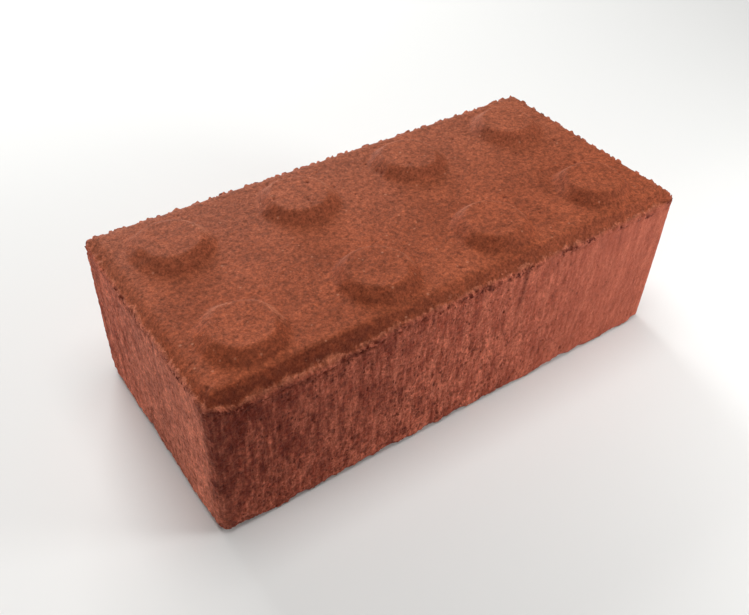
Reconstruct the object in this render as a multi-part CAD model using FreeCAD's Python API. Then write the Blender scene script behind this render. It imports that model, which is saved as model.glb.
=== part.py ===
import FreeCAD
import Part
import os

# Blister paving block: a pressed concrete block, 200 mm class, that warns people on foot through
# their soles. It is pressed upside up in a steel mould in two bonded courses:
#   facing_course   fine pigmented mix with the chamfer, the flat-topped blisters and the press flash
#   backing_course  coarser pigmented mix that carries the load and beds on sand
# Units are millimetres. The origin is at the middle of the underside, +X runs along the block
# and +Z points up, out of the walked-on face.

# block
LENGTH = 200.0
WIDTH = 95.0
ARRIS_HEIGHT = 60.0         # underside to the outer edge of the chamfer
CHAMFER = 4.5               # 45 degrees, so the same height and run
CORNER_RADIUS = 3.0         # upright corners, as the mould box has them
UNDERSIDE_ROUND = 2.0       # worn lower edge all round
TOP = ARRIS_HEIGHT + CHAMFER

# courses
COURSE_JOINT = 50.0         # height at which the facing mix meets the backing mix

# press flash: a thin fin that the mix leaves in the gap between mould box and punch
FLASH_HEIGHT = 1.0
FLASH_THICKNESS = 0.8

# blisters
BLISTER_PITCH = 50.0        # the same along and across the block
BLISTERS_ALONG = 4
BLISTERS_ACROSS = 2
BLISTER_BASE_RADIUS = 15.0
BLISTER_TOP_RADIUS = 10.5
BLISTER_HEIGHT = 4.4
FLANK_BULGE = 0.45          # how far the flank stands outside a straight cone


def rounded_outline(length, width, radius, height):
    """Closed face of a rounded rectangle, centred on Z, at the given height."""
    box = Part.makeBox(length, width, 1.0, FreeCAD.Vector(-length / 2, -width / 2, height))
    upright = [edge for edge in box.Edges if abs(edge.tangentAt(edge.FirstParameter).z) > 0.99]
    solid = box.makeFillet(radius, upright)
    return min(solid.Faces, key=lambda face: face.CenterOfMass.z)


def prism(inset, low, high):
    """Upright block of the plan outline, moved in by inset, from low to high."""
    outline = rounded_outline(LENGTH - 2 * inset, WIDTH - 2 * inset, CORNER_RADIUS - inset, low)
    return outline.extrude(FreeCAD.Vector(0, 0, high - low))


def punch_cavity():
    """Space under the punch: four 45 degree slopes, mitred at the corners, up to the flat face."""
    spread = TOP - COURSE_JOINT
    top_x, top_y = LENGTH / 2 - CHAMFER, WIDTH / 2 - CHAMFER
    low_x, low_y = top_x + spread, top_y + spread
    # a wedge narrows along Y, so it is made lying down and then stood up
    wedge = Part.makeWedge(-low_x, 0, -low_y, -top_y, -top_x, low_x, spread, low_y, top_y, top_x)
    wedge.rotate(FreeCAD.Vector(0, 0, 0), FreeCAD.Vector(1, 0, 0), 90)
    wedge.translate(FreeCAD.Vector(0, 0, COURSE_JOINT))
    return wedge


def flash_fin():
    """Thin upright fin that follows the outer edge of the chamfer."""
    high = ARRIS_HEIGHT + FLASH_HEIGHT
    return prism(0, ARRIS_HEIGHT, high).cut(prism(FLASH_THICKNESS, ARRIS_HEIGHT, high))


def blister():
    """One flat-topped dome, turned from its half section, standing on the flat face."""
    foot = FreeCAD.Vector(BLISTER_BASE_RADIUS, 0, 0)
    rim = FreeCAD.Vector(BLISTER_TOP_RADIUS, 0, BLISTER_HEIGHT)
    outwards = FreeCAD.Vector(BLISTER_HEIGHT, 0, BLISTER_BASE_RADIUS - BLISTER_TOP_RADIUS).normalize()
    flank = Part.Arc(foot, (foot + rim) * 0.5 + outwards * FLANK_BULGE, rim).toShape()
    # the core reaches into the course, so the two join as one piece
    buried_centre = FreeCAD.Vector(0, 0, -CHAMFER)
    buried_foot = FreeCAD.Vector(BLISTER_BASE_RADIUS, 0, -CHAMFER)
    crown = FreeCAD.Vector(0, 0, BLISTER_HEIGHT)
    section = Part.Wire([
        Part.makeLine(buried_centre, buried_foot),
        Part.makeLine(buried_foot, foot),
        flank,
        Part.makeLine(rim, crown),
        Part.makeLine(crown, buried_centre),
    ])
    dome = Part.Face(section).revolve(FreeCAD.Vector(0, 0, 0), FreeCAD.Vector(0, 0, 1), 360)
    return dome


def blister_centres():
    """Centres of the blisters on the flat face, as a square grid about the middle."""
    for along in range(BLISTERS_ALONG):
        for across in range(BLISTERS_ACROSS):
            x = (along - (BLISTERS_ALONG - 1) / 2) * BLISTER_PITCH
            y = (across - (BLISTERS_ACROSS - 1) / 2) * BLISTER_PITCH
            yield FreeCAD.Vector(x, y, TOP)


def facing_course():
    """Facing mix: chamfered slab with the flash fin and the blisters pressed in one with it."""
    slab = prism(0, COURSE_JOINT, TOP).common(punch_cavity()).fuse(flash_fin())
    for centre in blister_centres():
        dome = blister()
        dome.translate(centre)
        slab = slab.fuse(dome)
    return slab.removeSplitter()


def backing_course():
    """Backing mix: plain slab with a worn lower edge."""
    slab = prism(0, 0, COURSE_JOINT)
    lower_edges = [edge for edge in slab.Edges if edge.BoundBox.ZMax < 0.01]
    return slab.makeFillet(UNDERSIDE_ROUND, lower_edges)


def only_solid(shape):
    """The single solid of a shape, which is what a sub-part is made of."""
    if len(shape.Solids) != 1:
        raise ValueError("a sub-part has to be one solid, not %d" % len(shape.Solids))
    return shape.Solids[0]


SUB_PARTS = {
    "facing_course": facing_course,
    "backing_course": backing_course,
}

os.makedirs("parts", exist_ok=True)
for name, make in SUB_PARTS.items():
    solid = only_solid(make())
    solid.exportStep("parts/%s.step" % name)
    box = solid.BoundBox
    print("%-15s volume %9.0f mm3, z %.1f to %.1f, valid %s"
          % (name, solid.Volume, box.ZMin, box.ZMax, solid.isValid()))
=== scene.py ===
import math

import bmesh
import bpy
from mathutils import Matrix, Vector


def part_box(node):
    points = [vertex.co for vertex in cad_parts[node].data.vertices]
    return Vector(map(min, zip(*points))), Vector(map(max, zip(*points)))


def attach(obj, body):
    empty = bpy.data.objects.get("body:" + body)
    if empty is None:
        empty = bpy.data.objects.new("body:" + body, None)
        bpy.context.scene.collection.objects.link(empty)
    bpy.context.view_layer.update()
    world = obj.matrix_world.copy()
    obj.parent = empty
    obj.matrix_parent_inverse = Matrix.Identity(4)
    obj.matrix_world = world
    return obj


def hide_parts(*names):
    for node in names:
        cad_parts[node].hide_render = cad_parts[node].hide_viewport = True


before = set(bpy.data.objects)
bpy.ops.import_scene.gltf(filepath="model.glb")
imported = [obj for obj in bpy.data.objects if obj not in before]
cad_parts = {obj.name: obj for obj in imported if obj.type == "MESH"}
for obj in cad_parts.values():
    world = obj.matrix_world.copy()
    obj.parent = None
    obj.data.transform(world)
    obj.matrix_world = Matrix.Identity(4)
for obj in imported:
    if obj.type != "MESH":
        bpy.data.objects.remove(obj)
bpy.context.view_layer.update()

MM = 0.001


# ---- Facing course ---------------------------------------------------------------------------
# The upper 10 mm and the walked-on face of the block, in fine sand, cement and iron oxide. A
# punch presses it in the mould box, which gives it the flat face, the 45 degree chamfer and the
# blisters, and the box drags upright marks down its sides as the block is pushed out.

facing_low, facing_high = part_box("facing_course")
length = facing_high.x - facing_low.x
width = facing_high.y - facing_low.y
joint_height = facing_low.z
chamfer = 4.5 * MM
corner_radius = 4.0 * MM
blister_pitch = length / 4
blister_base_radius = 15.0 * MM
blister_top_radius = 10.5 * MM
blister_height = 4.4 * MM
punch_shift = -1.5 * MM     # the punch hangs a little off centre in the box, both along and across
flash_height = 1.7 * MM     # at its tallest, where it stands in teeth
face_height = facing_high.z - blister_height
arris_height = face_height - chamfer
cells_along = 344           # mesh cells of 0.58 mm, about the grit size
cells_across = 164
facing_rows = 17            # rows of cells down the facing's sides
skin = 0.02 * MM            # a point this near to a flat face counts as lying on it
tiny = 1e-9                 # keeps a length that is divided by off zero


def hex_colour(text):
    """Linear RGBA of an sRGB colour such as #9c5539."""
    shares = [int(text[i:i + 2], 16) / 255 for i in (1, 3, 5)]
    return [s / 12.92 if s <= 0.04045 else ((s + 0.055) / 1.055) ** 2.4 for s in shares] + [1.0]


def add(tree, kind, inputs=(), **settings):
    """Adds one node. An input that is a node or a socket is linked, and any other is set."""
    node = tree.nodes.new(kind)
    for name, value in settings.items():
        setattr(node, name, value)
    for key, value in inputs.items() if isinstance(inputs, dict) else enumerate(inputs):
        socket = node.inputs[key] if isinstance(key, int) else next(
            s for s in node.inputs if s.name == key and s.enabled)
        if isinstance(value, bpy.types.Node):
            value = next(s for s in value.outputs if s.enabled)
        if isinstance(value, bpy.types.NodeSocket):
            tree.links.new(value, socket)
        else:
            socket.default_value = value
    return node


def new_tree(name, inputs, outputs):
    """An empty geometry tree with named sockets, and its input and output nodes."""
    tree = bpy.data.node_groups.new(name, "GeometryNodeTree")
    for in_out, sockets in (("INPUT", inputs), ("OUTPUT", outputs)):
        for socket_name, kind in sockets.items():
            tree.interface.new_socket(socket_name, in_out=in_out, socket_type="NodeSocket" + kind)
    return tree, add(tree, "NodeGroupInput"), add(tree, "NodeGroupOutput")


def pressed_slab(name, face_z, joint_z, coarser, rows):
    """Shell of one course: a gridded face at face_z, gridded sides to joint_z, one plain joint face.

    The face's own cells are coarser times as wide as those of its rim and its sides."""
    shell = bmesh.new()
    bmesh.ops.create_grid(
        shell, x_segments=cells_along // coarser, y_segments=cells_across // coarser, size=0.5,
        matrix=Matrix.Translation((0, 0, face_z)) @ Matrix.Diagonal((length, width, 1, 1)))
    rim = [edge for edge in shell.edges if edge.is_boundary]
    if coarser > 1:
        bmesh.ops.bisect_edges(shell, edges=rim, cuts=coarser - 1)
        rim = [edge for edge in shell.edges if edge.is_boundary]
    for _ in range(rows):
        rim = [part for part in bmesh.ops.extrude_edge_only(shell, edges=rim)["geom"]
               if isinstance(part, bmesh.types.BMEdge) and part.is_boundary]
        corners = {corner for edge in rim for corner in edge.verts}
        bmesh.ops.translate(shell, verts=list(corners), vec=(0, 0, (joint_z - face_z) / rows))
    bmesh.ops.edgeloop_fill(shell, edges=rim)
    bmesh.ops.recalc_face_normals(shell, faces=shell.faces)
    for edge in rim:
        edge.smooth = False
    mesh = bpy.data.meshes.new(name)
    shell.to_mesh(mesh)
    shell.free()
    return mesh


def grown(name, start, tree, sizes):
    """Runs a tree on a starting mesh, with its named inputs set, and gives the result as a plain piece."""
    piece = bpy.data.objects.new(name, start)
    bpy.context.scene.collection.objects.link(piece)
    modifier = piece.modifiers.new(name, "NODES")
    modifier.node_group = tree
    for item in tree.interface.items_tree:
        if item.in_out == "INPUT" and item.name in sizes:
            modifier[item.identifier] = sizes[item.name]
    depsgraph = bpy.context.evaluated_depsgraph_get()
    mesh = bpy.data.meshes.new_from_object(
        piece.evaluated_get(depsgraph), preserve_all_data_layers=True, depsgraph=depsgraph)
    piece.modifiers.remove(modifier)
    piece.data = mesh
    mesh.name = name
    return piece


def pocks(tree, place, spacing, rarity, widest, narrowing, shares=()):
    """Round holes, at most one in each cell of a net: 0 outside a hole and 1 at its bottom.

    A cell with luck under rarity has none. The luckiest has a mouth of widest, in cells, less what
    the shares take, and the hole narrows to a bottom of narrowing times its mouth."""
    cell = add(tree, "ShaderNodeTexVoronoi", {"Vector": place, "Scale": 1 / spacing})
    luck = add(tree, "ShaderNodeSeparateXYZ", [cell.outputs["Color"]])
    mouth = add(tree, "ShaderNodeMapRange", [luck, rarity, 1.0, 0.0, widest])
    for share in shares:
        mouth = add(tree, "ShaderNodeMath", [mouth, share], operation="MULTIPLY")
    throat = add(tree, "ShaderNodeMath", [mouth, narrowing], operation="MULTIPLY")
    return add(tree, "ShaderNodeMapRange", [cell.outputs["Distance"], mouth, throat, 0.0, 1.0])


def ring_share(tree, across, along):
    """What to multiply a corner's two distances by, so that a square ring becomes a round one."""
    larger = add(tree, "ShaderNodeMath", [across, along], operation="MAXIMUM")
    reach = add(tree, "ShaderNodeCombineXYZ", [across, along, 0.0])
    reach = add(tree, "ShaderNodeVectorMath", [reach], operation="LENGTH")
    reach = add(tree, "ShaderNodeMath", [reach, tiny], operation="MAXIMUM")
    return add(tree, "ShaderNodeMath", [larger, reach], operation="DIVIDE")


def finish_course(tree, given, result, marks, moved, material):
    """Ends a course's tree: stores the marks that the material reads, moves the points, and paints."""
    shape = given.outputs["Geometry"]
    for name, value in marks.items():
        shape = add(tree, "GeometryNodeStoreNamedAttribute", {
            "Geometry": shape, "Name": name, "Value": value}, data_type="FLOAT", domain="POINT")
    shape = add(tree, "GeometryNodeSetPosition", {"Geometry": shape, "Position": moved})
    shape = add(tree, "GeometryNodeSetShadeSmooth", {"Geometry": shape, "Shade Smooth": True})
    shape = add(tree, "GeometryNodeRealizeInstances", [shape])
    shape = add(tree, "GeometryNodeSetMaterial", {"Geometry": shape, "Material": material})
    tree.links.new(shape.outputs[0], result.inputs["Geometry"])


def mould_plan_tree():
    """Rounds the plan of a square-cornered slab, and measures how far in a point lies from its edge."""
    tree, given, result = new_tree(
        "mould plan", {"Length": "Float", "Width": "Float", "Corner Radius": "Float"},
        {"Place": "Vector", "Outward": "Vector", "Rim Distance": "Float", "Slope Distance": "Float"})
    place = add(tree, "GeometryNodeInputPosition")
    parts = add(tree, "ShaderNodeSeparateXYZ", [place])
    # the right-hand corners of the mould are the more worn, and so the rounder
    rounder = add(tree, "ShaderNodeMath", [given.outputs["Corner Radius"], 1.3], operation="MULTIPLY")
    radius = add(tree, "ShaderNodeMapRange", [
        parts.outputs["X"], -50.0 * MM, 50.0 * MM, given.outputs["Corner Radius"], rounder],
        interpolation_type="SMOOTHSTEP")
    # and the foot of every corner is knocked rounder still
    most = add(tree, "ShaderNodeMapRange", [
        parts.outputs["X"], -50.0 * MM, 50.0 * MM, 1.0 * MM, 0.5 * MM])
    foot = add(tree, "ShaderNodeMapRange", [parts.outputs["Z"], 15.0 * MM, 0.0, 0.0, most],
               interpolation_type="SMOOTHSTEP")
    radius = add(tree, "ShaderNodeMath", [radius, foot], operation="ADD")
    half = add(tree, "ShaderNodeCombineXYZ", [given.outputs["Length"], given.outputs["Width"], 0.0])
    half = add(tree, "ShaderNodeVectorMath", {0: half, "Scale": 0.5}, operation="SCALE")
    round_start = add(tree, "ShaderNodeVectorMath", [
        half, add(tree, "ShaderNodeCombineXYZ", [radius, radius, 0.0])], operation="SUBTRACT")
    flat = add(tree, "ShaderNodeVectorMath", [place, (1, 1, 0)], operation="MULTIPLY")
    quarter = add(tree, "ShaderNodeVectorMath", [flat], operation="ABSOLUTE")
    signs = add(tree, "ShaderNodeVectorMath", [flat], operation="SIGN")
    past = add(tree, "ShaderNodeVectorMath", [quarter, round_start], operation="SUBTRACT")
    inside = add(tree, "ShaderNodeVectorMath", [past, (0, 0, 0)], operation="MAXIMUM")
    sides = add(tree, "ShaderNodeSeparateXYZ", [inside])
    shrink = ring_share(tree, sides.outputs["X"], sides.outputs["Y"])
    rounded = add(tree, "ShaderNodeVectorMath", {0: inside, "Scale": shrink}, operation="SCALE")
    kept = add(tree, "ShaderNodeVectorMath", [quarter, round_start], operation="MINIMUM")
    moved = add(tree, "ShaderNodeVectorMath", [kept, rounded], operation="ADD")
    signed = add(tree, "ShaderNodeVectorMath", [moved, signs], operation="MULTIPLY")
    lift = add(tree, "ShaderNodeVectorMath", [place, (0, 0, 1)], operation="MULTIPLY")
    final = add(tree, "ShaderNodeVectorMath", [signed, lift], operation="ADD")
    tree.links.new(final.outputs[0], result.inputs["Place"])
    way = add(tree, "ShaderNodeVectorMath", [rounded, signs], operation="MULTIPLY")
    way = add(tree, "ShaderNodeVectorMath", [way], operation="NORMALIZE")
    tree.links.new(way.outputs[0], result.inputs["Outward"])
    # distance in from the rounded edge, and from the nearer of the four straight slopes
    behind = add(tree, "ShaderNodeSeparateXYZ", [past])
    behind = add(tree, "ShaderNodeMath", [behind.outputs[0], behind.outputs[1]], operation="MAXIMUM")
    behind = add(tree, "ShaderNodeMath", [behind, 0.0], operation="MINIMUM")
    span = add(tree, "ShaderNodeVectorMath", [rounded], operation="LENGTH")
    depth = add(tree, "ShaderNodeMath", [span, behind], operation="ADD")
    depth = add(tree, "ShaderNodeMath", [radius, depth], operation="SUBTRACT")
    tree.links.new(depth.outputs[0], result.inputs["Rim Distance"])
    gap = add(tree, "ShaderNodeVectorMath", [half, moved], operation="SUBTRACT")
    gap = add(tree, "ShaderNodeSeparateXYZ", [gap])
    gap = add(tree, "ShaderNodeMath", [gap.outputs[0], gap.outputs[1], 1.0 * MM], operation="SMOOTH_MIN")
    tree.links.new(gap.outputs[0], result.inputs["Slope Distance"])
    return tree


def mould_wear_tree():
    """What the mould box leaves on an upright side: a depth in metres and how hollow the spot is."""
    tree, _, result = new_tree("mould wear", {}, {"Depth": "Float", "Hollow": "Float"})
    place = add(tree, "GeometryNodeInputPosition")
    axes = add(tree, "ShaderNodeSeparateXYZ", [place])
    upright = add(tree, "ShaderNodeVectorMath", [place, (1, 1, 0.16)], operation="MULTIPLY")
    # drag marks: grooves about 1.3 mm apart, in bands about 6 mm apart
    groove = add(tree, "ShaderNodeTexNoise", {
        "Vector": upright, "Scale": 1 / (1.3 * MM), "Detail": 2.0, "Roughness": 0.6})
    groove = add(tree, "ShaderNodeMapRange", [groove, 0.62, 0.36, 0.0, 1.0])
    band = add(tree, "ShaderNodeTexNoise", {
        "Vector": upright, "Scale": 1 / (6.0 * MM), "Detail": 2.0, "Roughness": 0.5})
    band = add(tree, "ShaderNodeMapRange", [band, 0.65, 0.35, 0.0, 1.0])
    # crumbs of mix that lie between the marks, 1 to 2 mm across and a little taller than wide
    tall = add(tree, "ShaderNodeVectorMath", [place, (1, 1, 0.7)], operation="MULTIPLY")
    crumb = add(tree, "ShaderNodeTexNoise", {
        "Vector": tall, "Scale": 1 / (1.9 * MM), "Detail": 1.5, "Roughness": 0.5})
    crumb = add(tree, "ShaderNodeMapRange", [crumb, 0.60, 0.38, 0.0, 1.0])
    # pores: small and many, up to 2 mm across, gathered in patches and lower down
    patch = add(tree, "ShaderNodeTexNoise", {"Vector": place, "Scale": 1 / (16.0 * MM), "Detail": 2.0})
    low = add(tree, "ShaderNodeMapRange", [axes.outputs["Z"], 58.0 * MM, 25.0 * MM, 0.25, 1.0])
    openness = add(tree, "ShaderNodeMapRange", [patch, 0.38, 0.60, 0.2, 1.0])
    openness = add(tree, "ShaderNodeMath", [openness, low], operation="MULTIPLY")
    pore = pocks(tree, tall, spacing=2.3 * MM, rarity=0.25, widest=0.42, narrowing=0.25,
                 shares=[openness])
    # a few larger pits, up to 2.4 mm across
    pit = pocks(tree, place, spacing=8.0 * MM, rarity=0.45, widest=0.15, narrowing=0.4)
    # the right-hand part was struck by cleaner mould wall, so its marks are shallower
    calm = add(tree, "ShaderNodeMapRange", [axes.outputs["X"], 0.0, 65.0 * MM, 1.0, 0.25])
    sway = add(tree, "ShaderNodeTexNoise", {"Vector": place, "Scale": 1 / (35.0 * MM), "Detail": 1.0})
    depth = add(tree, "ShaderNodeMath", [sway, 0.4 * MM], operation="MULTIPLY")
    for share, most in ((groove, 0.14 * MM), (band, 0.20 * MM), (crumb, 0.34 * MM),
                        (pore, 0.60 * MM), (pit, 0.90 * MM)):
        share = add(tree, "ShaderNodeMath", [share, calm], operation="MULTIPLY")
        depth = add(tree, "ShaderNodeMath", [share, most, depth], operation="MULTIPLY_ADD")
    tree.links.new(depth.outputs[0], result.inputs["Depth"])
    hollow = add(tree, "ShaderNodeMath", [pore, pit], operation="MAXIMUM")
    both = add(tree, "ShaderNodeMath", [groove, band], operation="MULTIPLY")
    hollow = add(tree, "ShaderNodeMath", [both, 0.45, hollow], operation="MULTIPLY_ADD", use_clamp=True)
    tree.links.new(hollow.outputs[0], result.inputs["Hollow"])
    return tree


mould_plan = mould_plan_tree()
mould_wear = mould_wear_tree()


def facing_tree(material):
    """Shapes the facing course: chamfer, blisters, pits, flash, sagging arris, undercut and sides."""
    sizes = ("Length", "Width", "Corner Radius", "Arris Height", "Chamfer", "Blister Pitch",
             "Blister Base Radius", "Blister Top Radius", "Blister Height", "Flash Height",
             "Punch Shift", "Joint Height")
    tree, given, result = new_tree(
        "facing course", {"Geometry": "Geometry", **{size: "Float" for size in sizes}},
        {"Geometry": "Geometry"})
    size = given.outputs
    plan = add(tree, "GeometryNodeGroup", [], node_tree=mould_plan)
    for name in ("Length", "Width", "Corner Radius"):
        tree.links.new(size[name], plan.inputs[name])
    wear = add(tree, "GeometryNodeGroup", [], node_tree=mould_wear)
    place = plan.outputs["Place"]
    slope = plan.outputs["Slope Distance"]
    axes = add(tree, "ShaderNodeSeparateXYZ", [place])
    under = add(tree, "ShaderNodeMath", [size["Arris Height"], skin], operation="SUBTRACT")
    on_face = add(tree, "ShaderNodeMath", [axes.outputs["Z"], under], operation="GREATER_THAN")

    # chamfer: a 45 degree rise that rolls over into the flat face
    cut = add(tree, "ShaderNodeMath", [size["Chamfer"], slope], operation="SUBTRACT")
    cut = add(tree, "ShaderNodeMath", [cut, 0.0, 2.6 * MM], operation="SMOOTH_MAX")
    rise = add(tree, "ShaderNodeMath", [size["Chamfer"], cut], operation="SUBTRACT")

    # blisters: every point of the face measures to the centre of its own square of the grid
    half_pitch = add(tree, "ShaderNodeMath", [size["Blister Pitch"], 0.5], operation="MULTIPLY")
    minus_half = add(tree, "ShaderNodeMath", [half_pitch, -1.0], operation="MULTIPLY")
    offsets = []
    for axis in ("X", "Y"):
        centred = add(tree, "ShaderNodeMath", [
            axes.outputs[axis], size["Punch Shift"]], operation="SUBTRACT")
        shifted = add(tree, "ShaderNodeMath", [centred, half_pitch], operation="SUBTRACT")
        offsets.append(add(tree, "ShaderNodeMath", [shifted, half_pitch, minus_half], operation="WRAP"))
    from_centre = add(tree, "ShaderNodeCombineXYZ", [*offsets, 0.0])
    radius = add(tree, "ShaderNodeVectorMath", [from_centre], operation="LENGTH")
    uneven = add(tree, "ShaderNodeTexNoise", {"Vector": place, "Scale": 1 / (9.0 * MM), "Detail": 1.0})
    uneven = add(tree, "ShaderNodeMapRange", [uneven, 0.3, 0.7, -0.6 * MM, 0.6 * MM])
    radius = add(tree, "ShaderNodeMath", [radius, uneven], operation="ADD")
    cone = add(tree, "ShaderNodeMapRange", [
        radius, size["Blister Base Radius"], size["Blister Top Radius"], 0.0, size["Blister Height"]],
        clamp=False)
    crest = add(tree, "ShaderNodeMath", [cone, size["Blister Height"], 1.0 * MM], operation="SMOOTH_MIN")
    dome = add(tree, "ShaderNodeMath", [crest, 0.0, 1.1 * MM], operation="SMOOTH_MAX")
    rise = add(tree, "ShaderNodeMath", [rise, dome], operation="ADD")
    # painted highlight: the far flank of every blister, turned towards the light behind, is marked to be
    # painted pale
    flank_way = add(tree, "ShaderNodeVectorMath", [from_centre], operation="NORMALIZE")
    highlight_way = (0.6, 0.8, 0.0)
    facing_light = add(tree, "ShaderNodeVectorMath", [flank_way, highlight_way], operation="DOT_PRODUCT")
    flank_highlight = add(tree, "ShaderNodeMapRange", [facing_light.outputs["Value"], 0.05, 0.7, 0.0, 1.0])
    flank = add(tree, "ShaderNodeMath", [radius, 12.1 * MM], operation="SUBTRACT")
    flank = add(tree, "ShaderNodeMath", [flank], operation="ABSOLUTE")
    flank = add(tree, "ShaderNodeMapRange", [flank, 2.4 * MM, 0.9 * MM, 0.0, 1.0])
    flank_highlight = add(tree, "ShaderNodeMath", [flank_highlight, flank], operation="MULTIPLY")

    # grit, and the slow waviness of a hand-struck fill; both go down only, so the box holds
    grit = add(tree, "ShaderNodeTexNoise", {
        "Vector": place, "Scale": 1 / (1.6 * MM), "Detail": 2.0, "Roughness": 0.6})
    grit = add(tree, "ShaderNodeMapRange", [grit, 0.25, 0.75, -0.30 * MM, 0.0])
    roll = add(tree, "ShaderNodeTexNoise", {"Vector": place, "Scale": 1 / (28.0 * MM), "Detail": 1.0})
    roll = add(tree, "ShaderNodeMapRange", [roll, 0.3, 0.7, -0.35 * MM, 0.0])
    rise = add(tree, "ShaderNodeMath", [rise, grit], operation="ADD")
    rise = add(tree, "ShaderNodeMath", [rise, roll], operation="ADD")

    # pits: a few on the face, and a crumbled line of them along the arris
    face_pit = pocks(tree, place, spacing=5.0 * MM, rarity=0.50, widest=0.22, narrowing=0.3)
    crumbling = add(tree, "ShaderNodeTexNoise", {"Vector": place, "Scale": 1 / (11.0 * MM)})
    crumbling = add(tree, "ShaderNodeMapRange", [crumbling, 0.42, 0.58, 0.0, 1.0])
    drop = add(tree, "ShaderNodeMath", [size["Arris Height"], axes.outputs["Z"]], operation="SUBTRACT")
    from_arris = add(tree, "ShaderNodeMath", [drop, slope], operation="MAXIMUM")
    near_arris = add(tree, "ShaderNodeMapRange", [from_arris, 3.2 * MM, 0.8 * MM, 0.0, 1.0])
    arris_pit = pocks(tree, place, spacing=2.6 * MM, rarity=0.2, widest=0.6, narrowing=0.3,
                      shares=[crumbling, near_arris])
    rise = add(tree, "ShaderNodeMath", [face_pit, -0.45 * MM, rise], operation="MULTIPLY_ADD")
    rise = add(tree, "ShaderNodeMath", [arris_pit, -1.1 * MM, rise], operation="MULTIPLY_ADD")

    # raised arris: the press flash, fullest on the near left, and in teeth on the back and right
    ragged = add(tree, "ShaderNodeTexNoise", {"Vector": place, "Scale": 1 / (2.8 * MM), "Detail": 3.0})
    ragged = add(tree, "ShaderNodeMapRange", [ragged, 0.38, 0.66, 0.0, 1.0])
    swell = add(tree, "ShaderNodeTexNoise", {"Vector": place, "Scale": 1 / (16.0 * MM), "Detail": 1.0})
    swell = add(tree, "ShaderNodeMapRange", [swell, 0.35, 0.65, 0.35, 1.0])
    ragged = add(tree, "ShaderNodeMath", [ragged, swell], operation="MULTIPLY")
    leftward = add(tree, "ShaderNodeMapRange", [axes.outputs["X"], -10.0 * MM, -55.0 * MM, 0.0, 1.0])
    nearward = add(tree, "ShaderNodeMapRange", [axes.outputs["Y"], -38.0 * MM, -44.0 * MM, 0.0, 1.0])
    full = add(tree, "ShaderNodeMath", [leftward, nearward], operation="MULTIPLY")
    ragged = add(tree, "ShaderNodeMath", [full, 0.35, ragged], operation="MULTIPLY_ADD", use_clamp=True)
    teeth = add(tree, "ShaderNodeTexNoise", {"Vector": place, "Scale": 1 / (2.6 * MM), "Detail": 2.0})
    teeth = add(tree, "ShaderNodeMapRange", [teeth, 0.42, 0.58, 0.0, 1.0])
    backward = add(tree, "ShaderNodeMapRange", [axes.outputs["Y"], 20.0 * MM, 40.0 * MM, 0.0, 1.0])
    rightward = add(tree, "ShaderNodeMapRange", [axes.outputs["X"], 70.0 * MM, 90.0 * MM, 0.0, 1.0])
    away = add(tree, "ShaderNodeMath", [backward, rightward], operation="MAXIMUM")
    teeth = add(tree, "ShaderNodeMath", [teeth, away], operation="MULTIPLY")
    ragged = add(tree, "ShaderNodeMath", [ragged, teeth], operation="MAXIMUM")
    wander = add(tree, "ShaderNodeTexNoise", {"Vector": place, "Scale": 1 / (5.0 * MM), "Detail": 2.0})
    wander = add(tree, "ShaderNodeMapRange", [wander, 0.35, 0.65, -0.7 * MM, 0.7 * MM])
    from_flash = add(tree, "ShaderNodeMath", [from_arris, wander], operation="ADD")
    lip = add(tree, "ShaderNodeMapRange", [from_flash, 1.8 * MM, 0.5 * MM, 0.0, 1.0],
              interpolation_type="SMOOTHSTEP")
    lip = add(tree, "ShaderNodeMath", [lip, ragged], operation="MULTIPLY")
    tall = add(tree, "ShaderNodeMath", [full, -0.55, 1.0], operation="MULTIPLY_ADD")
    tall = add(tree, "ShaderNodeMath", [tall, size["Flash Height"]], operation="MULTIPLY")
    rise = add(tree, "ShaderNodeMath", [lip, tall, rise], operation="MULTIPLY_ADD")
    # a narrow furrow between the flash and the chamfer, where the flash is full
    furrow = add(tree, "ShaderNodeMath", [from_flash, 2.5 * MM], operation="SUBTRACT")
    furrow = add(tree, "ShaderNodeMath", [furrow], operation="ABSOLUTE")
    furrow = add(tree, "ShaderNodeMapRange", [furrow, 0.9 * MM, 0.2 * MM, 0.0, 1.0])
    for share in (full, swell):
        furrow = add(tree, "ShaderNodeMath", [furrow, share], operation="MULTIPLY")
    rise = add(tree, "ShaderNodeMath", [furrow, -0.35 * MM, rise], operation="MULTIPLY_ADD")
    lift = add(tree, "ShaderNodeMath", [rise, on_face], operation="MULTIPLY")

    # sag: the near arris slumped as the mould lifted, most along the left half
    begins = add(tree, "ShaderNodeMapRange", [axes.outputs["X"], -98.0 * MM, -90.0 * MM, 0.0, 1.0],
                 interpolation_type="SMOOTHSTEP")
    ends = add(tree, "ShaderNodeMapRange", [axes.outputs["X"], -50.0 * MM, -26.0 * MM, 3.0 * MM, 0.7 * MM],
               interpolation_type="SMOOTHSTEP")
    by_slope = add(tree, "ShaderNodeMapRange", [slope, size["Chamfer"], 0.0, 0.0, 1.0],
                   interpolation_type="SMOOTHSTEP")
    by_height = add(tree, "ShaderNodeMapRange", [
        axes.outputs["Z"], size["Joint Height"], size["Arris Height"], 0.0, 1.0])
    uneven_sag = add(tree, "ShaderNodeMapRange", [swell, 0.35, 1.0, 0.85, 1.15])
    sag = add(tree, "ShaderNodeMath", [begins, ends], operation="MULTIPLY")
    for share in (nearward, by_slope, by_height, uneven_sag):
        sag = add(tree, "ShaderNodeMath", [sag, share], operation="MULTIPLY")
    lift = add(tree, "ShaderNodeMath", [lift, sag], operation="SUBTRACT")
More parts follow.
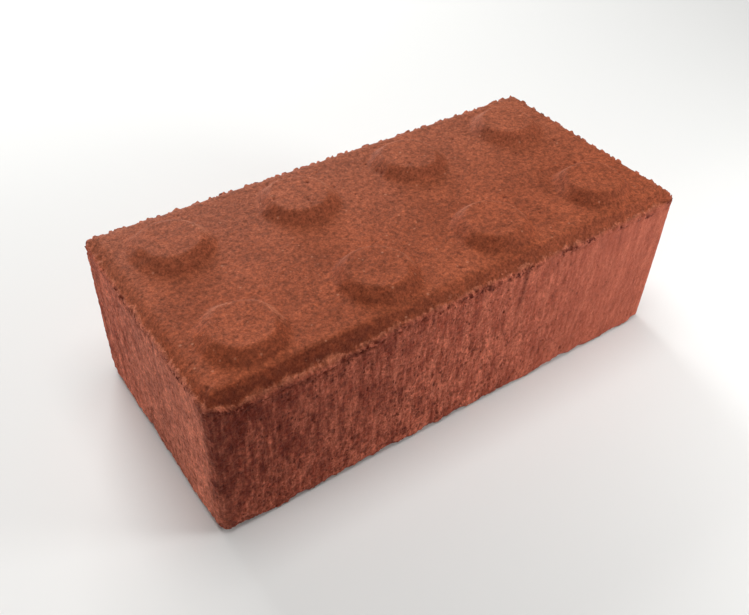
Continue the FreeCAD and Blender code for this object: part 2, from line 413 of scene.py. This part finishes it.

    # undercut: the gap that the flash leaves below itself, in short lengths, which the material paints
    # dark as painted shadow
    gap = add(tree, "ShaderNodeVectorMath", [place, (1, 1, 2.5)], operation="MULTIPLY")
    gap = add(tree, "ShaderNodeTexNoise", {"Vector": gap, "Scale": 1 / (3.4 * MM), "Detail": 3.0})
    gap = add(tree, "ShaderNodeMapRange", [gap, 0.48, 0.56, 0.0, 1.0])
    below = add(tree, "ShaderNodeMath", [drop, wander], operation="ADD")
    start = add(tree, "ShaderNodeMapRange", [below, 0.5 * MM, 1.1 * MM, 0.0, 1.0])
    finish = add(tree, "ShaderNodeMapRange", [below, 3.0 * MM, 1.6 * MM, 0.0, 1.0])
    undercut = add(tree, "ShaderNodeMapRange", [full, 0.0, 1.0, 0.35, 1.0])
    for share in (gap, start, finish):
        undercut = add(tree, "ShaderNodeMath", [undercut, share], operation="MULTIPLY")

    # sides: worn inwards, fading out over the arris, while the lip keeps to the mould wall
    edge = add(tree, "ShaderNodeMapRange", [plan.outputs["Rim Distance"], 2.4 * MM, 0.0, 0.0, 1.0])
    edge_wear = add(tree, "ShaderNodeMath", [wear.outputs["Depth"], edge], operation="MULTIPLY")
    proud = add(tree, "ShaderNodeMath", [lip, -0.9, 1.0], operation="MULTIPLY_ADD")
    inset = add(tree, "ShaderNodeMath", [edge_wear, proud], operation="MULTIPLY")
    inset = add(tree, "ShaderNodeMath", [arris_pit, 0.7 * MM, inset], operation="MULTIPLY_ADD")
    inset = add(tree, "ShaderNodeMath", [undercut, 1.2 * MM, inset], operation="MULTIPLY_ADD")
    inset = add(tree, "ShaderNodeMath", [inset, -1.0], operation="MULTIPLY")
    inward = add(tree, "ShaderNodeVectorMath", {
        0: plan.outputs["Outward"], "Scale": inset}, operation="SCALE")
    moved = add(tree, "ShaderNodeVectorMath", [place, inward], operation="ADD")
    moved = add(tree, "ShaderNodeVectorMath", [
        moved, add(tree, "ShaderNodeCombineXYZ", [0.0, 0.0, lift])], operation="ADD")

    # what the material reads: how hollow a spot is, how far it is side, flash or arris, and the far
    # flanks' painted highlight
    hollow = add(tree, "ShaderNodeMath", [wear.outputs["Hollow"], edge], operation="MULTIPLY")
    for hole in (face_pit, arris_pit, undercut):
        hollow = add(tree, "ShaderNodeMath", [hollow, hole], operation="MAXIMUM")
    shaded = add(tree, "ShaderNodeMath", [furrow, on_face], operation="MULTIPLY")
    hollow = add(tree, "ShaderNodeMath", [shaded, 0.7, hollow], operation="MULTIPLY_ADD", use_clamp=True)
    side = add(tree, "ShaderNodeMapRange", [plan.outputs["Rim Distance"], 1.2 * MM, 0.2 * MM, 0.0, 1.0])
    arris = add(tree, "ShaderNodeMapRange", [from_arris, 3.0 * MM, 0.0, 0.0, 1.0])
    marks = {"hollow": hollow, "side": side, "flash": lip, "arris": arris, "flank_highlight": flank_highlight}
    finish_course(tree, given, result, marks, moved, material)
    return tree


def pressed_mix(name, face_colours, side_colours, grit):
    """Pigmented concrete, pressed and unpolished: a dull, sandy surface with hardly any gloss.

    The sides carry smeared cement, so they are pinker than the face, streaked upright and full of
    pores, which are painted dark as painted shade. grit is the usual size of a sand grain, in metres.
    The backing course has no flash, arris or flank highlight marks, and those read as 0 there."""
    material = bpy.data.materials.new(name)
    material.use_nodes = True
    tree = material.node_tree
    shader = tree.nodes["Principled BSDF"]
    place = add(tree, "ShaderNodeTexCoord").outputs["Object"]
    axes = add(tree, "ShaderNodeSeparateXYZ", [place])
    side = add(tree, "ShaderNodeAttribute", attribute_name="side").outputs["Fac"]
    hollow = add(tree, "ShaderNodeAttribute", attribute_name="hollow").outputs["Fac"]
    dark_face, light_face, dark_side, light_side = map(hex_colour, (*face_colours, *side_colours))
    # pigment that mixed unevenly, in patches about 15 mm across
    cloud = add(tree, "ShaderNodeTexNoise", {
        "Vector": place, "Scale": 1 / (15.0 * MM), "Detail": 6.0, "Roughness": 0.7})
    cloud = add(tree, "ShaderNodeMapRange", [cloud, 0.32, 0.68, 0.0, 1.0])
    face = add(tree, "ShaderNodeMix", {"Factor": cloud, "A": dark_face, "B": light_face}, data_type="RGBA")
    # painted sheen: the back half of the face is painted paler, as grazing light sheens it
    painted_sheen = add(tree, "ShaderNodeMapRange", [axes.outputs["Y"], -15.0 * MM, 45.0 * MM, 0.0, 0.36])
    face = add(tree, "ShaderNodeMix", {
        "Factor": painted_sheen, "A": face, "B": hex_colour("#9f6149")}, data_type="RGBA")
    # cement smeared down the sides, in streaks about 1.4 mm wide over blotches about 6 mm wide
    upright = add(tree, "ShaderNodeMapping", {"Vector": place, "Scale": (1.0, 1.0, 0.14)})
    streak = add(tree, "ShaderNodeTexNoise", {
        "Vector": upright, "Scale": 1 / (1.4 * MM), "Detail": 4.0, "Roughness": 0.7})
    blotch = add(tree, "ShaderNodeMapping", {"Vector": place, "Scale": (1.0, 1.0, 0.5)})
    blotch = add(tree, "ShaderNodeTexNoise", {
        "Vector": blotch, "Scale": 1 / (6.0 * MM), "Detail": 5.0, "Roughness": 0.65})
    streak = add(tree, "ShaderNodeMath", [streak, blotch], operation="ADD")
    streak = add(tree, "ShaderNodeMapRange", [streak, 0.84, 1.16, 0.0, 1.0])
    # the right-hand part is evener
    calm = add(tree, "ShaderNodeMapRange", [axes.outputs["X"], 0.0, 65.0 * MM, 0.0, 0.65])
    streak = add(tree, "ShaderNodeMix", {"Factor": calm, "A": streak, "B": 0.40})
    smear = add(tree, "ShaderNodeMix", {
        "Factor": streak, "A": dark_side, "B": light_side}, data_type="RGBA")
    # painted light: the left end is painted paler towards its front, where light from the left falls on it
    painted_end_light = add(tree, "ShaderNodeMapRange", [axes.outputs["X"], -93.0 * MM, -97.5 * MM, 0.0, 0.22])
    forward = add(tree, "ShaderNodeMapRange", [axes.outputs["Y"], 35.0 * MM, 0.0, 0.0, 1.0])
    painted_end_light = add(tree, "ShaderNodeMath", [painted_end_light, forward], operation="MULTIPLY")
    smear = add(tree, "ShaderNodeMix", {
        "Factor": painted_end_light, "A": smear, "B": hex_colour("#bf7f66")}, data_type="RGBA")
    # painted shade: the near side is painted darker and browner towards its left end
    painted_shade_and_drip = add(tree, "ShaderNodeTexNoise", {"Vector": upright, "Scale": 1 / (12.0 * MM), "Detail": 4.0})
    painted_shade_and_drip = add(tree, "ShaderNodeMath", [painted_shade_and_drip, -0.09, axes.outputs["X"]], operation="MULTIPLY_ADD")
    painted_shade_and_drip = add(tree, "ShaderNodeMapRange", [painted_shade_and_drip, -52.0 * MM, -137.0 * MM, 0.0, 0.8])
    near = add(tree, "ShaderNodeMapRange", [axes.outputs["Y"], -40.0 * MM, -46.0 * MM, 0.0, 1.0])
    painted_shade_and_drip = add(tree, "ShaderNodeMath", [painted_shade_and_drip, near], operation="MULTIPLY")
    upper = add(tree, "ShaderNodeMapRange", [axes.outputs["Z"], 10.0 * MM, 26.0 * MM, 0.45, 1.0])
    painted_shade_and_drip = add(tree, "ShaderNodeMath", [painted_shade_and_drip, upper], operation="MULTIPLY")
    streak_share = add(tree, "ShaderNodeMapRange", [streak, 0.0, 1.0, 1.2, 0.72])
    painted_shade_and_drip = add(tree, "ShaderNodeMath", [painted_shade_and_drip, streak_share], operation="MULTIPLY", use_clamp=True)
    # one drip that ran down from the arris, right of the middle, leaning a little as it fell
    drip_place = 17.3 * MM
    lean = -0.1
    drip = add(tree, "ShaderNodeMath", [
        axes.outputs["Z"], lean, axes.outputs["X"]], operation="MULTIPLY_ADD")
    drip = add(tree, "ShaderNodeMath", [drip, drip_place], operation="SUBTRACT")
    drip = add(tree, "ShaderNodeMath", [drip], operation="ABSOLUTE")
    drip = add(tree, "ShaderNodeMapRange", [drip, 1.8 * MM, 0.4 * MM, 0.0, 0.6])
    lasts = add(tree, "ShaderNodeMapRange", [axes.outputs["Z"], 30.0 * MM, 44.0 * MM, 0.0, 1.0])
    for share in (lasts, near):
        drip = add(tree, "ShaderNodeMath", [drip, share], operation="MULTIPLY")
    painted_shade_and_drip = add(tree, "ShaderNodeMath", [painted_shade_and_drip, drip], operation="MAXIMUM")
    # the painted shade and the drip darken the side together, towards #602012
    smear = add(tree, "ShaderNodeMix", {
        "Factor": painted_shade_and_drip, "A": smear, "B": hex_colour("#602012")}, data_type="RGBA")
    # painted shade: slopes are painted darker, and darker still on the near side, most towards the left
    normal = add(tree, "ShaderNodeSeparateXYZ", [add(tree, "ShaderNodeNewGeometry").outputs["Normal"]])
    painted_slope_shade = add(tree, "ShaderNodeMapRange", [normal.outputs["Z"], 1.0, 0.72, 0.0, 0.18])
    slope_shade_boost = add(tree, "ShaderNodeMapRange", [axes.outputs["X"], -10.0 * MM, -60.0 * MM, 1.9, 3.4])
    nearer = add(tree, "ShaderNodeMapRange", [axes.outputs["Y"], -31.0 * MM, -43.0 * MM, 0.0, 1.0])
    slope_shade_boost = add(tree, "ShaderNodeMix", {"Factor": nearer, "A": 1.0, "B": slope_shade_boost})
    painted_slope_shade = add(tree, "ShaderNodeMath", [painted_slope_shade, slope_shade_boost], operation="MULTIPLY", use_clamp=True)
    # the mix towards #5c1e07 is the painted shade on the slopes
    face = add(tree, "ShaderNodeMix", {
        "Factor": painted_slope_shade, "A": face, "B": hex_colour("#5c1e07")}, data_type="RGBA")
    # the flash is thin, and is painted paler: a painted highlight on its upturned top
    flash = add(tree, "ShaderNodeAttribute", attribute_name="flash").outputs["Fac"]
    flash = add(tree, "ShaderNodeMath", [flash, 1.2], operation="MULTIPLY", use_clamp=True)
    face = add(tree, "ShaderNodeMix", {
        "Factor": flash, "A": face, "B": hex_colour("#ae6245")}, data_type="RGBA")
    # the arris beside it is frayed and pale too
    arris = add(tree, "ShaderNodeAttribute", attribute_name="arris").outputs["Fac"]
    frayed = add(tree, "ShaderNodeTexNoise", {
        "Vector": place, "Scale": 1 / (2.2 * MM), "Detail": 3.0, "Roughness": 0.6})
    frayed = add(tree, "ShaderNodeMapRange", [frayed, 0.30, 0.70, -0.45, 0.45])
    frayed = add(tree, "ShaderNodeMath", [arris, frayed], operation="ADD")
    frayed = add(tree, "ShaderNodeMapRange", [frayed, 0.55, 0.75, 0.0, 0.8])
    face = add(tree, "ShaderNodeMix", {
        "Factor": frayed, "A": face, "B": hex_colour("#b4694d")}, data_type="RGBA")
    # painted highlight: the far flanks of the blisters are painted pale
    flank_highlight = add(tree, "ShaderNodeAttribute", attribute_name="flank_highlight").outputs["Fac"]
    flank_highlight = add(tree, "ShaderNodeMath", [flank_highlight, 0.3], operation="MULTIPLY")
    face = add(tree, "ShaderNodeMix", {
        "Factor": flank_highlight, "A": face, "B": hex_colour("#c98263")}, data_type="RGBA")
    ground = add(tree, "ShaderNodeMix", {"Factor": side, "A": face, "B": smear}, data_type="RGBA")
    # single grains, drawn a little coarser than life so that they show
    grain = add(tree, "ShaderNodeTexNoise", {
        "Vector": place, "Scale": 1 / (1.5 * grit), "Detail": 3.0, "Roughness": 0.75})
    shade = add(tree, "ShaderNodeMapRange", [grain, 0.30, 0.70, 0.56, 1.44])
    clump = add(tree, "ShaderNodeTexNoise", {
        "Vector": place, "Scale": 1 / (3.4 * grit), "Detail": 2.0, "Roughness": 0.6})
    clump = add(tree, "ShaderNodeMapRange", [clump, 0.32, 0.68, 0.72, 1.28])
    shade = add(tree, "ShaderNodeMath", [shade, clump], operation="MULTIPLY")
    even = add(tree, "ShaderNodeMath", [calm, side], operation="MULTIPLY")
    shade = add(tree, "ShaderNodeMix", {"Factor": even, "A": shade, "B": 1.0})
    ground = add(tree, "ShaderNodeVectorMath", {0: ground, "Scale": shade}, operation="SCALE")
    # a few pale grains of coarser sand, mostly on the face
    cell = add(tree, "ShaderNodeTexVoronoi", {"Vector": place, "Scale": 1 / (7.0 * grit)})
    luck = add(tree, "ShaderNodeSeparateXYZ", [cell.outputs["Color"]])
    size = add(tree, "ShaderNodeMapRange", [luck, 0.40, 1.0, 0.031, 0.19])
    speck = add(tree, "ShaderNodeMapRange", [cell, size, 0.03, 0.0, 0.6])
    only_face = add(tree, "ShaderNodeMath", [side, -0.8, 1.0], operation="MULTIPLY_ADD")
    speck = add(tree, "ShaderNodeMath", [speck, only_face], operation="MULTIPLY")
    ground = add(tree, "ShaderNodeMix", {
        "Factor": speck, "A": ground, "B": hex_colour("#c98a6c")}, data_type="RGBA")
    # pores up to 2 mm across: thick in patches on the sides, fewer on the left end and to the
    # right, and rare on the face
    patch = add(tree, "ShaderNodeTexNoise", {"Vector": place, "Scale": 1 / (9.0 * MM), "Detail": 3.0})
    patch = add(tree, "ShaderNodeMapRange", [patch, 0.34, 0.56, 0.5, 1.0])
    open_side = add(tree, "ShaderNodeMapRange", [axes.outputs["X"], 0.0, 65.0 * MM, 1.0, 0.3])
    closed_end = add(tree, "ShaderNodeMapRange", [axes.outputs["X"], -94.0 * MM, -98.0 * MM, 1.0, 0.6])
    for share in (closed_end, side):
        open_side = add(tree, "ShaderNodeMath", [open_side, share], operation="MULTIPLY")
    open_side = add(tree, "ShaderNodeMath", [open_side, 0.85, 0.15], operation="MULTIPLY_ADD")
    open_side = add(tree, "ShaderNodeMath", [open_side, patch], operation="MULTIPLY")
    tall = add(tree, "ShaderNodeMapping", {"Vector": place, "Scale": (1.0, 1.0, 0.75)})
    pores = 0.0
    for spacing, widest in ((1.5 * MM, 0.52), (2.9 * MM, 0.40)):
        pore = pocks(tree, tall, spacing, rarity=0.35, widest=widest, narrowing=0.35,
                     shares=[open_side])
        pores = add(tree, "ShaderNodeMath", [pore, pores], operation="MAXIMUM")
    # winding gaps between crumbs, about 1 mm wide, less dark than a pore and fewer near the top
    gaps = add(tree, "ShaderNodeTexNoise", {
        "Vector": tall, "Scale": 1 / (1.9 * MM), "Detail": 2.5, "Roughness": 0.6})
    gaps = add(tree, "ShaderNodeMapRange", [gaps, 0.50, 0.36, 0.0, 0.8])
    lower = add(tree, "ShaderNodeMapRange", [axes.outputs["Z"], 48.0 * MM, 26.0 * MM, 0.45, 1.0])
    for share in (lower, open_side):
        gaps = add(tree, "ShaderNodeMath", [gaps, share], operation="MULTIPLY")
    pores = add(tree, "ShaderNodeMath", [pores, gaps], operation="MAXIMUM")
    # crevices along the arris, in lengths where the edge crumbled as the block left the mould
    arris = add(tree, "ShaderNodeMapRange", [arris, 0.20, 0.60, 0.0, 1.0])
    stretch = add(tree, "ShaderNodeTexNoise", {"Vector": place, "Scale": 1 / (11.0 * MM), "Detail": 1.0})
    stretch = add(tree, "ShaderNodeMapRange", [stretch, 0.42, 0.55, 0.1, 1.0])
    crevice = add(tree, "ShaderNodeTexNoise", {
        "Vector": place, "Scale": 1 / (1.8 * MM), "Detail": 3.0, "Roughness": 0.6})
    crevice = add(tree, "ShaderNodeMapRange", [crevice, 0.50, 0.43, 0.0, 1.0])
    for share in (arris, stretch, side):
        crevice = add(tree, "ShaderNodeMath", [crevice, share], operation="MULTIPLY")
    # painted shade: holes, grooves and crevices are painted a dark red, for the shade that lies in them
    depth = add(tree, "ShaderNodeMath", [hollow, pores], operation="MAXIMUM")
    depth = add(tree, "ShaderNodeMath", [depth, 0.8], operation="MULTIPLY")
    ground = add(tree, "ShaderNodeMix", {
        "Factor": depth, "A": ground, "B": hex_colour("#4c170b")}, data_type="RGBA")
    ground = add(tree, "ShaderNodeMix", {
        "Factor": crevice, "A": ground, "B": hex_colour("#581a0b")}, data_type="RGBA")
    tree.links.new(next(s for s in ground.outputs if s.enabled), shader.inputs["Base Color"])
    rough = add(tree, "ShaderNodeMapRange", [grain, 0.3, 0.7, 0.82, 0.68])
    tree.links.new(rough.outputs[0], shader.inputs["Roughness"])
    shader.inputs["IOR"].default_value = 1.5
    shader.inputs["Specular IOR Level"].default_value = 0.14
    # relief: sand grains stand out, and the finest pores and crevices lie deeper
    fine = add(tree, "ShaderNodeTexNoise", {
        "Vector": place, "Scale": 1 / (0.7 * grit), "Detail": 2.0, "Roughness": 0.6})
    pores = add(tree, "ShaderNodeMath", [pores, crevice], operation="MAXIMUM")
    relief = add(tree, "ShaderNodeMath", [grain, 1.6, fine], operation="MULTIPLY_ADD")
    relief = add(tree, "ShaderNodeMath", [pores, -1.5, relief], operation="MULTIPLY_ADD")
    bump = add(tree, "ShaderNodeBump", {"Strength": 0.9, "Distance": 0.5 * grit, "Height": relief})
    tree.links.new(bump.outputs[0], shader.inputs["Normal"])
    return material


side_colours = ("#934532", "#c96f55")     # smeared cement, dark and light, the same on both courses
facing_mix = pressed_mix("pressed facing mix", ("#8a4429", "#a25436"), side_colours, grit=0.5 * MM)
facing_start = pressed_slab("facing_start", arris_height, joint_height, coarser=1, rows=facing_rows)
facing = grown("facing_course_body", facing_start, facing_tree(facing_mix), {
    "Length": length, "Width": width, "Corner Radius": corner_radius, "Arris Height": arris_height,
    "Chamfer": chamfer, "Blister Pitch": blister_pitch, "Blister Base Radius": blister_base_radius,
    "Blister Top Radius": blister_top_radius, "Blister Height": blister_height,
    "Flash Height": flash_height, "Punch Shift": punch_shift, "Joint Height": joint_height})
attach(facing, "root")
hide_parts("facing_course")


# ---- Backing course --------------------------------------------------------------------------
# The lower 50 mm, in a coarser mix of the same colour. It fills the mould box first, so its sides
# are open and full of pores, and its lower edge crumbles where the block is pushed off the pallet.

backing_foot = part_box("backing_course")[0].z
underside_round = 2.6 * MM
backing_coarser = 2         # the underside's cells are twice as wide as the face's
backing_rows = 80           # rows of cells up the backing's sides


def backing_tree(material):
    """Shapes the backing course: worn sides, a crumbled lower edge and a rough underside."""
    tree, given, result = new_tree(
        "backing course", {"Geometry": "Geometry", "Length": "Float", "Width": "Float",
                           "Corner Radius": "Float", "Underside Round": "Float"},
        {"Geometry": "Geometry"})
    plan = add(tree, "GeometryNodeGroup", [], node_tree=mould_plan)
    for name in ("Length", "Width", "Corner Radius"):
        tree.links.new(given.outputs[name], plan.inputs[name])
    wear = add(tree, "GeometryNodeGroup", [], node_tree=mould_wear)
    place = plan.outputs["Place"]
    rim = plan.outputs["Rim Distance"]
    axes = add(tree, "ShaderNodeSeparateXYZ", [place])
    height = axes.outputs["Z"]
    underneath = add(tree, "ShaderNodeMath", [height, skin], operation="LESS_THAN")

    # lower edge: rounded by wear, and more where it has crumbled
    ragged = add(tree, "ShaderNodeTexNoise", {
        "Vector": place, "Scale": 1 / (7.0 * MM), "Detail": 4.0, "Roughness": 0.6})
    ragged = add(tree, "ShaderNodeMapRange", [ragged, 0.36, 0.66, 0.55, 1.65])
    radius = add(tree, "ShaderNodeMath", [ragged, given.outputs["Underside Round"]], operation="MULTIPLY")
    # the four lower corners are knocked rounder than the edges between them
    quarter = add(tree, "ShaderNodeVectorMath", [place], operation="ABSOLUTE")
    tip = add(tree, "ShaderNodeCombineXYZ", [given.outputs["Length"], given.outputs["Width"], 0.0])
    tip = add(tree, "ShaderNodeVectorMath", {0: tip, "Scale": 0.5}, operation="SCALE")
    knock = add(tree, "ShaderNodeVectorMath", [quarter, tip], operation="DISTANCE")
    knock = add(tree, "ShaderNodeMapRange", [knock.outputs["Value"], 17.0 * MM, 3.0 * MM, 1.0, 1.25],
                interpolation_type="SMOOTHSTEP")
    rightward = add(tree, "ShaderNodeMapRange", [
        axes.outputs["X"], -50.0 * MM, 50.0 * MM, 0.0, 0.65])
    knock = add(tree, "ShaderNodeMix", {"Factor": rightward, "A": knock, "B": 1.0})
    radius = add(tree, "ShaderNodeMath", [radius, knock], operation="MULTIPLY")
    across = add(tree, "ShaderNodeMath", [radius, rim], operation="SUBTRACT")
    across = add(tree, "ShaderNodeMath", [across, 0.0], operation="MAXIMUM")
    up = add(tree, "ShaderNodeMath", [radius, height], operation="SUBTRACT")
    up = add(tree, "ShaderNodeMath", [up, 0.0], operation="MAXIMUM")
    loss = add(tree, "ShaderNodeMath", [1.0, ring_share(tree, across, up)], operation="SUBTRACT")
    in_by = add(tree, "ShaderNodeMath", [across, loss], operation="MULTIPLY")
    up_by = add(tree, "ShaderNodeMath", [up, loss], operation="MULTIPLY")

    # underside: grit and small stones, pressed against the pallet
    stone = add(tree, "ShaderNodeTexVoronoi", {
        "Vector": place, "Scale": 1 / (5.0 * MM)}, feature="SMOOTH_F1")
    stone = add(tree, "ShaderNodeMapRange", [stone, 0.25, 0.75, 0.0, 0.7 * MM])
    rubble = add(tree, "ShaderNodeTexNoise", {
        "Vector": place, "Scale": 1 / (3.0 * MM), "Detail": 3.0, "Roughness": 0.65})
    rubble = add(tree, "ShaderNodeMapRange", [rubble, 0.42, 0.75, 0.0, 0.9 * MM])
    rough = add(tree, "ShaderNodeMath", [stone, rubble], operation="ADD")
    rough = add(tree, "ShaderNodeMath", [rough, underneath], operation="MULTIPLY")
    up_by = add(tree, "ShaderNodeMath", [up_by, rough], operation="ADD")

    # sides: the same wear as the course above, fading out under the lower edge
    edge = add(tree, "ShaderNodeMapRange", [rim, 4.0 * MM, 0.0, 0.0, 1.0])
    in_by = add(tree, "ShaderNodeMath", [wear.outputs["Depth"], edge, in_by], operation="MULTIPLY_ADD")
    in_by = add(tree, "ShaderNodeMath", [in_by, -1.0], operation="MULTIPLY")
    inward = add(tree, "ShaderNodeVectorMath", {
        0: plan.outputs["Outward"], "Scale": in_by}, operation="SCALE")
    moved = add(tree, "ShaderNodeVectorMath", [place, inward], operation="ADD")
    moved = add(tree, "ShaderNodeVectorMath", [
        moved, add(tree, "ShaderNodeCombineXYZ", [0.0, 0.0, up_by])], operation="ADD")

    # what the material reads: how hollow a spot is, and how far it is side
    hollow = add(tree, "ShaderNodeMath", [wear.outputs["Hollow"], edge], operation="MULTIPLY")
    deep = add(tree, "ShaderNodeMapRange", [rough, 0.5 * MM, 1.4 * MM, 0.0, 0.8])
    hollow = add(tree, "ShaderNodeMath", [hollow, deep], operation="MAXIMUM")
    side = add(tree, "ShaderNodeMapRange", [rim, 2.0 * MM, 0.2 * MM, 0.0, 1.0])
    finish_course(tree, given, result, {"hollow": hollow, "side": side}, moved, material)
    return tree


backing_mix = pressed_mix("pressed backing mix", ("#7d4534", "#96604c"), side_colours, grit=0.6 * MM)
backing_start = pressed_slab(
    "backing_start", backing_foot, joint_height, coarser=backing_coarser, rows=backing_rows)
backing = grown("backing_course_body", backing_start, backing_tree(backing_mix), {
    "Length": length, "Width": width, "Corner Radius": corner_radius,
    "Underside Round": underside_round})
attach(backing, "root")
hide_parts("backing_course")


# ---- Stage: floor, light and camera ----------------------------------------------------------
# A plain matt white board for a floor, four soft boxes above, behind, to the left and close in
# front on the right, and the camera looking down at the near left corner.

floor_half = 3.0
floor_mesh = bpy.data.meshes.new("floor")
floor_corners = [(x * floor_half, y * floor_half, 0) for x, y in ((-1, -1), (1, -1), (1, 1), (-1, 1))]
floor_mesh.from_pydata(floor_corners, [], [(0, 1, 2, 3)])
floor = bpy.data.objects.new("floor", floor_mesh)
bpy.context.scene.collection.objects.link(floor)
floor_paint = bpy.data.materials.new("matt white board")
floor_paint.use_nodes = True
floor_shader = floor_paint.node_tree.nodes["Principled BSDF"]
floor_shader.inputs["Base Color"].default_value = hex_colour("#e8e8e6")
floor_shader.inputs["Roughness"].default_value = 0.9
floor_mesh.materials.append(floor_paint)

world = bpy.data.worlds.new("soft room")
world.use_nodes = True
background = world.node_tree.nodes["Background"]
background.inputs["Color"].default_value = hex_colour("#ffffff")
background.inputs["Strength"].default_value = 0.06
bpy.context.scene.world = world
bpy.context.scene.view_settings.view_transform = "Standard"


def soft_light(name, place, target, size, power):
    """A square soft box at place, turned to target, size metres wide and of power watts."""
    lamp = bpy.data.lights.new(name, "AREA")
    lamp.shape = "SQUARE"
    lamp.size = size
    lamp.energy = power
    box = bpy.data.objects.new(name, lamp)
    box.location = place
    box.rotation_mode = "QUATERNION"
    box.rotation_quaternion = (Vector(target) - Vector(place)).to_track_quat("-Z", "Y")
    bpy.context.scene.collection.objects.link(box)


soft_light("over_box", (0.0, 0.0, 1.1), (0.0, 0.0, 0.05), 0.7, 7.0)
soft_light("back_box", (0.1, 0.95, 0.42), (0.0, 0.0, 0.05), 0.6, 10.0)
soft_light("left_box", (-0.9, -0.05, 0.22), (-0.1, 0.0, 0.04), 0.4, 2.8)
soft_light("near_box", (0.28, -0.27, 0.14), (0.06, -0.05, 0.04), 0.13, 0.92)

azimuth = math.radians(-36.47)
elevation = math.radians(41.73)
roll = math.radians(2.44)
camera_place = (-0.15715, -0.20261, 0.24592)
# the camera's own axes: back is the way out of its rear, and roll turns right and up about it
back = Vector((math.sin(azimuth) * math.cos(elevation),
               -math.cos(azimuth) * math.cos(elevation),
               math.sin(elevation)))
level = (-back).cross(Vector((0, 0, 1))).normalized()
upright = level.cross(-back)
right = level * math.cos(roll) + upright * math.sin(roll)
up = upright * math.cos(roll) - level * math.sin(roll)
camera_data = bpy.data.cameras.new("camera")
camera_data.sensor_width = 36.0
camera_data.lens = 41.51
camera_data.clip_start = 0.01
camera = bpy.data.objects.new("camera", camera_data)
turn = Matrix((right, up, back)).transposed().to_4x4()
camera.matrix_world = Matrix.Translation(camera_place) @ turn
bpy.context.scene.collection.objects.link(camera)
bpy.context.scene.camera = camera
